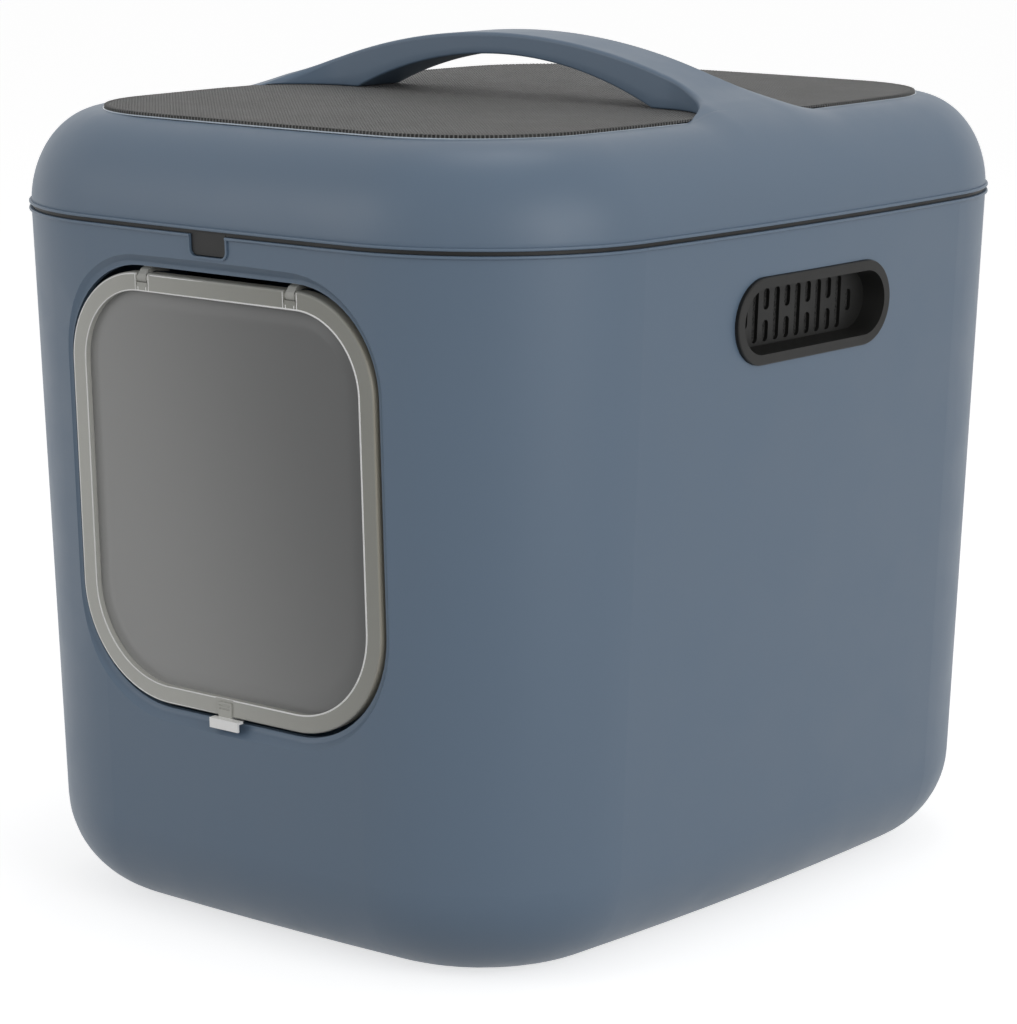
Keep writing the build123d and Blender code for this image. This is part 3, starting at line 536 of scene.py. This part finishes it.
# ring of the lid: its section goes out along the foot, round the bead, up the shoulder's ellipse, over the lip, down
# the window's wall, round the ledge, and back down a second ellipse inside
def lidRing():
    seam, window = lid["seam"], lid["window"]
    bottom, bead, soft = lid["bottom"], lid["beadHeight"], lid["beadRound"]
    start = soft - lid["beadProud"]
    turn = np.radians(np.linspace(20, 90, 4))
    rows = [levelRow(seam, lid["wall"], bottom), levelRow(seam, start, bottom)]
    rows += [levelRow(seam, start - soft * np.sin(angle), bottom + soft * (1 - np.cos(angle))) for angle in turn]
    rows += [levelRow(seam, start - soft * np.sin(angle), bottom + bead - soft * (1 - np.cos(angle)))
             for angle in turn[::-1]]
    rows += [levelRow(seam, start, bottom + bead), levelRow(seam, lid["beadSink"], bottom + bead)]
    # the dome has even steps of the ellipse's angle, then even steps to the lip
    lowest = np.arcsin((bead + lid["beadClear"]) / (lid["top"] - bottom))
    loops = [outlineLoop(seam, lid["shoulder"] * (1 - np.cos(angle)))
             for angle in np.linspace(lowest, np.radians(lid["crownAngle"]), 26)]
    lip = lid["lipRound"]
    last, inner = loops[-1], outlineLoop(window, -lip)
    loops += [last + (inner - last) * share for share in np.linspace(0, 1, 7)[1:]]
    rows += [np.column_stack([loop, topHeight(loop[:, 0], loop[:, 1])]) for loop in loops]
    lipTop = topHeight(inner[:, 0], inner[:, 1])
    rows += [np.column_stack([outlineLoop(window, -lip + lip * np.sin(angle)), lipTop - lip * (1 - np.cos(angle))])
             for angle in np.radians((25, 50, 75, 90))]
    ledge = lid["ledgeWidth"]
    rows += [levelRow(window, 0, lid["panelBottom"]), levelRow(window, ledge, lid["panelBottom"]),
             levelRow(window, ledge, lid["ledgeBottom"])]
    reach = lid["shoulder"] - lid["wall"]
    rows += [levelRow(seam, lid["shoulder"] - reach * np.cos(angle), bottom + lid["innerRise"] * np.sin(angle))
             for angle in np.radians(np.linspace(90, 0, 14))]
    return np.stack(rows + rows[:1])


# the lid's ring and four quarters of its handle, which run into the ring at their roots
def makeLid():
    grids = [(lidRing(), True, False)]
    shadeSkirts = []
    for hand, side in ((-1, -1), (1, -1), (-1, 1), (1, 1)):
        quarter, shadeSkirt = handleQuarter(hand, side)
        grids += [(grid * (hand, side, 1), False, hand * side < 0) for grid in quarter]
        shadeSkirts.append((shadeSkirt * (hand, side, 1), False, hand * side < 0))
    piece = addSurface("lidMoulding", grids, "bluePolypropylene", "lid")
    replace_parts(piece, "lid_shell")
    # the black skirts under the legs are painted shade in the gap over the panel
    addSurface("legShadeSkirts", shadeSkirts, "blackPolypropyleneAndPaintedShade", "lid")


# one quarter of the handle: the spine runs along its middle, the edge first straight beside it and then round the
# corner's circle; rows go from spine to edge over the crest, down round its edge, down the side and back underneath
def handleQuarter(hand, side):
    start, corner, half = handle["rootStart"], handle["corner"], handle["half"]
    count, rowCount = handle["counts"]
    tipX, tipY = handle["tip"]
    straight = np.linspace(0, start, count, endpoint=False)
    bend = np.radians(np.linspace(0, 90, count))
    edgeX = np.concatenate([straight, start + corner * np.sin(bend), [tipX]])
    edgeY = np.concatenate([np.full(count, half), half + corner * (1 - np.cos(bend)), [tipY]])
    spineBend = handle["spineRun"] * (bend / bend[-1]) ** handle["spinePower"]
    spineX = np.concatenate([straight, start + spineBend, [handle["spineTip"]]])
    across = 1 - (1 - np.linspace(0, 1, rowCount)) ** handle["edgePower"]
    x = spineX + (edgeX - spineX) * across[:, None]
    y = edgeY * across[:, None]
    # distance of each point from the edge, which decides how far its rounding has come down
    fall = np.where(x < start, half - y, np.hypot(x - start, y - half - corner) - corner)
    edgeTop = topHeight(hand * edgeX, side * edgeY)
    rounding = handle["edge"] + (handle["rootEdge"] - handle["edge"]) * smoothStep(*handle["edgeRun"], edgeX)
    rounding = np.minimum(rounding, np.maximum(lid["lipRound"], 0.75 * (edgeTop - handle["gap"])))
    inside = np.clip(rounding - fall, 0, None)
    z = topHeight(hand * x, side * y) - rounding + np.sqrt(np.maximum(rounding ** 2 - inside ** 2, 0))
    z += handle["lift"] - handle["dip"] * smoothStep(*handle["dipRun"], -insetOf(lid["window"], x, y))
    # the underside is the arch's inner circle, but no lower than the gap over the panel
    under = handle["apex"] - handle["depth"] - handle["underRadius"]
    under = under + np.sqrt(handle["underRadius"] ** 2 - edgeX ** 2)
    sideTop = edgeTop - rounding
    low = np.minimum(np.maximum(under, handle["gap"]), sideTop)
    soft = handle["underEdge"]
    edge = np.stack([edgeX, edgeY], axis=-1)
    spine = np.stack([spineX, 0 * spineX], axis=-1)
    inward = spine - edge
    inward /= np.linalg.norm(inward, axis=-1, keepdims=True)
    wallFoot = np.minimum(low + soft, sideTop)
    wall = [np.column_stack([edge, sideTop + (wallFoot - sideTop) * share]) for share in (0, 0.33, 0.66, 1)]
    wall += [np.column_stack([edge + inward * soft * (1 - np.cos(angle)),
                              np.minimum(low + soft * (1 - np.sin(angle)), sideTop)])
             for angle in np.radians((30, 60, 90))]
    place = edge + inward * soft
    wall += [np.column_stack([place + (spine - place) * share, np.minimum(low, sideTop)]) for share in (0.35, 0.7, 1)]
    # painted shade: a black skirt set back under the leg, a dark sheet standing for the shadow in the gap over the
    # panel
    back = edge + inward * handle["skirtIn"]
    shadeSkirt = np.stack([np.column_stack([back, low + handle["skirtUp"]]),
                      np.column_stack([back, 0 * low + handle["skirtFoot"]])])[:, handle["skirtStart"]:]
    return [np.stack([x, y, z], axis=-1), np.stack(wall)], shadeSkirt


# painted highlight along the lip: a pale round bead, circles of a radius about the window's outline, sunk where the
# handle stands on it
def makeLipHighlight():
    loop = outlineLoop(lid["window"], -lipHighlight["out"])
    outward = outlineLoop(lid["window"], -lipHighlight["out"] - 1) - loop
    underHandle = topHeight(loop[:, 0], loop[:, 1]) > lid["top"] + lipHighlight["sinkFrom"]
    z = lid["top"] - lipHighlight["drop"] - lipHighlight["sink"] * underHandle
    size = lipHighlight["radius"]
    rows = [np.column_stack([loop + outward * size * np.cos(angle), z + size * np.sin(angle)])
            for angle in np.linspace(0, 2 * np.pi, 9)]
    addSurface("lipHighlight", [(np.stack(rows), True, True)], "paintedHighlightBluePolypropylene", "lid")


makeLid()
makeLipHighlight()
print("lid moulding made")


# ---------- mesh panel ----------
panel = {       # mm
    "pitch": 2.2, "hole": 1.4, "thickness": 1.3,    # a finer mesh would show as plain grey
    "level": 430.0, "latticeInset": 1.1, "underLeg": 1.0,
    "bandInset": 0.4, "bandFoot": 426.4, "legEnd": 62.5, "legFade": 5.0, "legSink": 3.0,
    "bandSection": ((0, -0.5), (0.35, -0.12), (2.4, -0.1)),     # inset and height from the level, above the foot
    "toothDepth": 0.3, "toothRise": 0.25, "toothSink": 0.3,     # teeth stand out, the rest lies under the band
    "toothSteps": 6, "toothWide": 2,                            # a pitch in steps, and the steps that a tooth takes
}


# inset of points from the panel's edge: the window's outline, cut back beside the handle's legs
def panelInset(x, y):
    x, y = np.abs(x), np.abs(y)
    edge = insetOf(lid["window"], x, y)
    leg = np.hypot(x - handle["rootStart"], y - handle["half"] - handle["corner"])
    besideLeg = (x > handle["rootStart"]) & (y < handle["half"] + handle["corner"])
    return np.where(besideLeg, np.minimum(edge, handle["corner"] - leg), edge)


# perforated sheet: in each square cell, four sides and four walls round a square hole
def makeMeshPanel():
    step, hole = panel["pitch"], panel["hole"] / 2
    columns, lines = [(np.arange(-np.ceil(reach / step), np.ceil(reach / step)) + 0.5) * step
                      for reach in lid["window"][:2]]
    x, y = [part.ravel() for part in np.meshgrid(columns, lines)]
    keep = (insetOf(lid["window"], x, y) > panel["latticeInset"]) & (panelInset(x, y) > -panel["underLeg"])
    x, y = x[keep], y[keep]
    corners = np.array([(-1, -1), (1, -1), (1, 1), (-1, 1)])
    centres = np.stack([x, y], axis=-1)[:, None]
    spots = np.concatenate([centres + corners * half for half in (step / 2, hole, hole)], axis=1)
    level = np.full(spots.shape[:2], panel["level"])
    level[:, 8:] -= panel["thickness"]      # each cell's last four points are the foot of its walls
    points = np.concatenate([spots, level[..., None]], axis=-1)
    sides = np.array([(i, (i + 1) % 4, (i + 1) % 4 + 4, i + 4) for i in range(4)])
    cell = np.concatenate([sides, sides + 4])
    for name, part in (("meshPanelFrontRight", (x > 0) & (y < 0)), ("meshPanelFrontLeft", (x < 0) & (y < 0)),
                       ("meshPanelRearRight", (x > 0) & (y > 0)), ("meshPanelRearLeft", (x < 0) & (y > 0))):
        faces = cell[None] + 12 * np.arange(part.sum())[:, None, None]
        data = bpy.data.meshes.new(name)
        data.from_pydata(points[part].reshape(-1, 3) * mm, [], faces.reshape(-1, 4))
        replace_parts(addPiece(name, data, "greyMeshNylon", "lid"), "mesh_panel")


# a line and its normals, sampled again at even steps along it
def evenSteps(line, outward, step):
    along = np.concatenate([[0], np.cumsum(np.linalg.norm(np.diff(line, axis=0), axis=1))])
    spots = np.arange(0, along[-1], step)
    return [np.stack([np.interp(spots, along, values[:, i]) for i in (0, 1)], axis=-1) for values in (line, outward)]


# painted shade: a black band round the panel's edge stands for the shadowed gap and side wall there; it is a section
# carried along each half of the outline, sunk beside the legs; the same section in grey stands proud of it only at a
# tooth every pitch, where the sheet's threads end
def makePanelShadeBand():
    grids, teeth = [], []
    sink = panel["toothSink"]
    section = [(0, panel["bandFoot"])] + [(inset, panel["level"] + rise) for inset, rise in panel["bandSection"]]
    for side in (-1, 1):
        loop = outlineLoop(lid["window"], 0)
        outward = outlineLoop(lid["window"], -1) - loop
        keep = side * loop[:, 1] > panel["legEnd"]
        order = np.argsort(side * np.where(keep, np.arctan2(loop[:, 1], loop[:, 0]), np.nan))[:keep.sum()]
        loop, outward = evenSteps(loop[order], outward[order], panel["pitch"] / panel["toothSteps"])
        tooth = np.arange(len(loop)) % panel["toothSteps"] < panel["toothWide"]
        legEnd = panel["legEnd"]
        sunk = panel["legSink"] * (1 - smoothStep(legEnd, legEnd + panel["legFade"], np.abs(loop[:, 1])))
        for target, isTooth in ((grids, 0), (teeth, 1)):
            out = isTooth * (tooth * (panel["toothDepth"] + sink) - sink)
            rise = isTooth * (tooth * (panel["toothRise"] + sink) - sink)
            rows = [np.column_stack([loop - outward * (panel["bandInset"] + inset - out[:, None]),
                                     z + rise * (z > panel["bandFoot"]) - sunk]) for inset, z in section]
            target.append((np.stack(rows), False, side < 0))
    addSurface("panelShadeBand", grids, "blackPolypropyleneAndPaintedShade", "lid")
    addSurface("panelThreads", teeth, "greyMeshNylon", "lid")


makeMeshPanel()
makePanelShadeBand()
print("mesh panel made")


# ---------- door ----------
door = {        # mm, and degrees of draft
    "wide": 210.0, "tall": 228.0, "drop": 25.0, "topCorner": 50.0, "bottomCorner": 60.0,
    "face": 3.0, "rim": 9.5, "lipDepth": 3.5, "seat": 6.2, "sheet": 2.0,
    "seam": 376.9, "front": -246.0, "draft": 2.3,
    "crown": 1.3, "crownRun": 11.0, "crownFlat": 4.0, "crownStart": 0.5,
}
bead = {        # mm; inset and depth, then the radius at the left and right, where below nought means none
    "rimInnerHighlightBead": (9.3, 3.15, 0.4, 0.55),
    "rimOuterHighlightBead": (0.9, 3.2, 0.42, -0.3),
    "thinning": (-70, 85), "notchRoom": 0.3, "lockX": -4.0, "lockHalf": 7.0, "lockRoom": 0.05,
}
hinge = {       # mm
    "x": 51.5, "axisDrop": 28.0, "axisDepth": 6.5, "finger": 5.6, "notch": 8.2,
    "sleeve": 3.15, "sleeveGap": 0.15,
    "rib": 0.5, "ribProud": 0.25, "ribSink": 0.1, "ribBeside": 0.6, "outerRibDrop": 0.8, "innerRibDrop": 7.2,
    "fillFoot": 7.3, "fillProud": 0.05, "fillGap": 0.5, "hollow": 3.75,
    "hollowTurn": (32, 88),     # degrees about the pin
}


# point of the front wall's frame: x across, v up the wall from the seam, depth into the wall
def onFront(x, v, depth):
    lean = np.radians(door["draft"])
    y = door["front"] - v * np.sin(lean) + depth * np.cos(lean)
    z = door["seam"] + v * np.cos(lean) + depth * np.sin(lean)
    return np.stack(np.broadcast_arrays(x, y, z), axis=-1)


# door outline at an inset, as points x, v around it: a rectangle with two sizes of round corner, then sampled again at
# even steps
def doorLoop(inset, count=24):
    halfWide, halfTall = door["wide"] / 2 - inset, door["tall"] / 2 - inset
    middle = -(door["drop"] + door["tall"] / 2)
    turn = np.linspace(0, np.pi / 2, count)
    points = []
    for quarter, signX, signV in ((0, 1, 1), (1, -1, 1), (2, -1, -1), (3, 1, -1)):
        radius = door["topCorner" if signV > 0 else "bottomCorner"] - inset
        angle = turn + quarter * np.pi / 2
        points.append(np.stack([signX * (halfWide - radius) + radius * np.cos(angle),
                                middle + signV * (halfTall - radius) + radius * np.sin(angle)], axis=-1))
    closed = np.concatenate(points + [points[0][:1]])
    along = np.concatenate([[0], np.cumsum(np.linalg.norm(np.diff(closed, axis=0), axis=1))])
    spots = np.linspace(0, along[-1], 8 * count, endpoint=False)
    return np.stack([np.interp(spots, along, closed[:, i]) for i in (0, 1)], axis=-1)


# smoked sheet behind the rim, closed from its back edge over its front and over its back: a soft crown rises from the
# rim over crownRun, then the sheet is level
def makeDoorSheet():
    near = door["face"] + door["lipDepth"]
    far = near + door["sheet"]
    rim, crownEnd = door["rim"], door["rim"] + door["crownRun"]
    edge = doorLoop(door["seat"])
    middle = edge.mean(axis=0)
    rows = [onFront(edge[:, 0], edge[:, 1], far)]
    for inset in [door["seat"], *np.linspace(rim - door["crownStart"], crownEnd + door["crownFlat"], 14)]:
        loop = doorLoop(inset)
        rows.append(onFront(loop[:, 0], loop[:, 1], near - door["crown"] * smoothStep(rim, crownEnd, inset)))
    for share in np.linspace(1, 0, 12)[1:]:
        inner = middle + (loop - middle) * share
        rows.append(onFront(inner[:, 0], inner[:, 1], near - door["crown"]))
    for share in np.linspace(0, 1, 8):
        inner = middle + (edge - middle) * share
        rows.append(onFront(inner[:, 0], inner[:, 1], far))
    piece = addSurface("doorSheet", [(np.stack(rows), True, True)], "smokedSheetPolycarbonate", "door")
    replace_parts(piece, "door_panel")


# painted highlight line round the rim: a near-white bead, a circle carried along the outline, its radius eased from
# left to right as the highlight fades
def makeHighlightBead(name):
    inset, depth, leftRadius, rightRadius = bead[name]
    loop = doorLoop(inset, 40)
    ahead = np.roll(loop, -1, axis=0) - np.roll(loop, 1, axis=0)
    ahead /= np.linalg.norm(ahead, axis=1, keepdims=True)
    outward = np.stack([ahead[:, 1], -ahead[:, 0]], axis=-1)
    size = leftRadius + (rightRadius - leftRadius) * smoothStep(*bead["thinning"], loop[:, 0])
    # it stops at the hinge notches, and lies behind the rim's face where the lock slides over it
    onTop = loop[:, 1] > -hinge["axisDrop"]
    atNotch = onTop & (np.abs(np.abs(loop[:, 0]) - hinge["x"]) < hinge["notch"] / 2 + bead["notchRoom"])
    size = np.where(atNotch, 0.0, np.maximum(size, 0.0))
    onFoot = loop[:, 1] < -door["drop"] - door["tall"] / 2
    atLock = onFoot & (np.abs(loop[:, 0] - bead["lockX"]) < bead["lockHalf"])
    behind = np.where(atLock, np.maximum(depth, door["face"] + size + bead["lockRoom"]), depth)
    rows = []
    for angle in np.linspace(0, 2 * np.pi, 9):
        place = loop + outward * (size * np.cos(angle))[:, None]
        rows.append(onFront(place[:, 0], place[:, 1], behind - size * np.sin(angle)))
    addSurface(name, [(np.stack(rows), True, False)], "paintedHighlightPolycarbonate", "door")


# under each hinge finger the rim is filled out: a flat-ended block whose section, in v and depth, has its front level
# with the rim and a round hollow about the pin that clears the finger
def makeNotchFills():
    low, near = -(door["drop"] + hinge["fillFoot"]), door["face"] + hinge["fillProud"]
    axisV, axisDepth, hollow = -hinge["axisDrop"], hinge["axisDepth"], hinge["hollow"]
    turn = np.radians(np.linspace(*hinge["hollowTurn"], 12))
    hollowLine = np.column_stack([axisV - hollow * np.sin(turn), axisDepth - hollow * np.cos(turn)])
    outline = np.concatenate([[(hollowLine[0, 0], near)], hollowLine, [(low, axisDepth)], [(low, near)]])
    middle = outline.mean(axis=0)
    half = hinge["notch"] / 2 - hinge["fillGap"]
    grids = []
    for side in (-1, 1):
        rows = []
        for shift, share in ((-half, 0), (-half, 1), (half, 1), (half, 0)):
            ring = middle + (outline - middle) * share
            rows.append(onFront(np.full(len(ring), side * hinge["x"] + shift), ring[:, 0], ring[:, 1]))
        grids.append((np.stack(rows), True, False))
    addSurface("notchFills", grids, "smokedRimPolycarbonate", "door", sharpAngle=30)


# sleeves on the pins beside each hinge finger: short round bars with flat ends
def makeHingeSleeves():
    near, far = hinge["finger"] / 2 + hinge["sleeveGap"], hinge["notch"] / 2
    turn = np.linspace(0, 2 * np.pi, 32, endpoint=False)
    grids = []
    for side, hand in ((-1, -1), (-1, 1), (1, -1), (1, 1)):
        rows = []
        for shift, size in ((near, 0.0), (near, hinge["sleeve"]), (far, hinge["sleeve"]), (far, 0.0)):
            v, depth = -hinge["axisDrop"] + size * np.cos(turn), hinge["axisDepth"] + size * np.sin(turn)
            rows.append(onFront(np.full(len(turn), side * hinge["x"] + hand * shift), v, depth))
        grids.append((np.stack(rows), True, hand < 0))
    addSurface("hingeSleeves", grids, "smokedRimPolycarbonate", "door")


# painted highlight lines down the rim from each notch: thin near-white ribs, a four-point section, narrower in front,
# carried straight down
def makeRimHighlightRibs():
    half, proud = hinge["rib"] / 2, hinge["ribProud"]
    section = np.array([(-half, hinge["ribSink"]), (-half / 2, -proud), (half / 2, -proud), (half, hinge["ribSink"])])
    inner, outer = hinge["finger"] / 2, hinge["notch"] / 2 + hinge["ribBeside"]
    foot = -(door["drop"] + door["rim"])
    grids = []
    for side in (-1, 1):
        for shift, drop in ((-outer, hinge["outerRibDrop"]), (-inner, hinge["innerRibDrop"]),
                            (inner, hinge["innerRibDrop"]), (outer, hinge["outerRibDrop"])):
            across = side * hinge["x"] + shift + section[:, 0]
            rows = [onFront(across, np.full(len(section), v), door["face"] + section[:, 1])
                    for v in np.linspace(-(door["drop"] + drop), foot, 5)]
            grids.append((np.stack(rows), False, False))
    addSurface("rimHighlightRibs", grids, "paintedHighlightPolycarbonate", "door")


makeDoorSheet()
makeHighlightBead("rimInnerHighlightBead")
makeHighlightBead("rimOuterHighlightBead")
makeHingeSleeves()
makeRimHighlightRibs()
makeNotchFills()
print("door made")
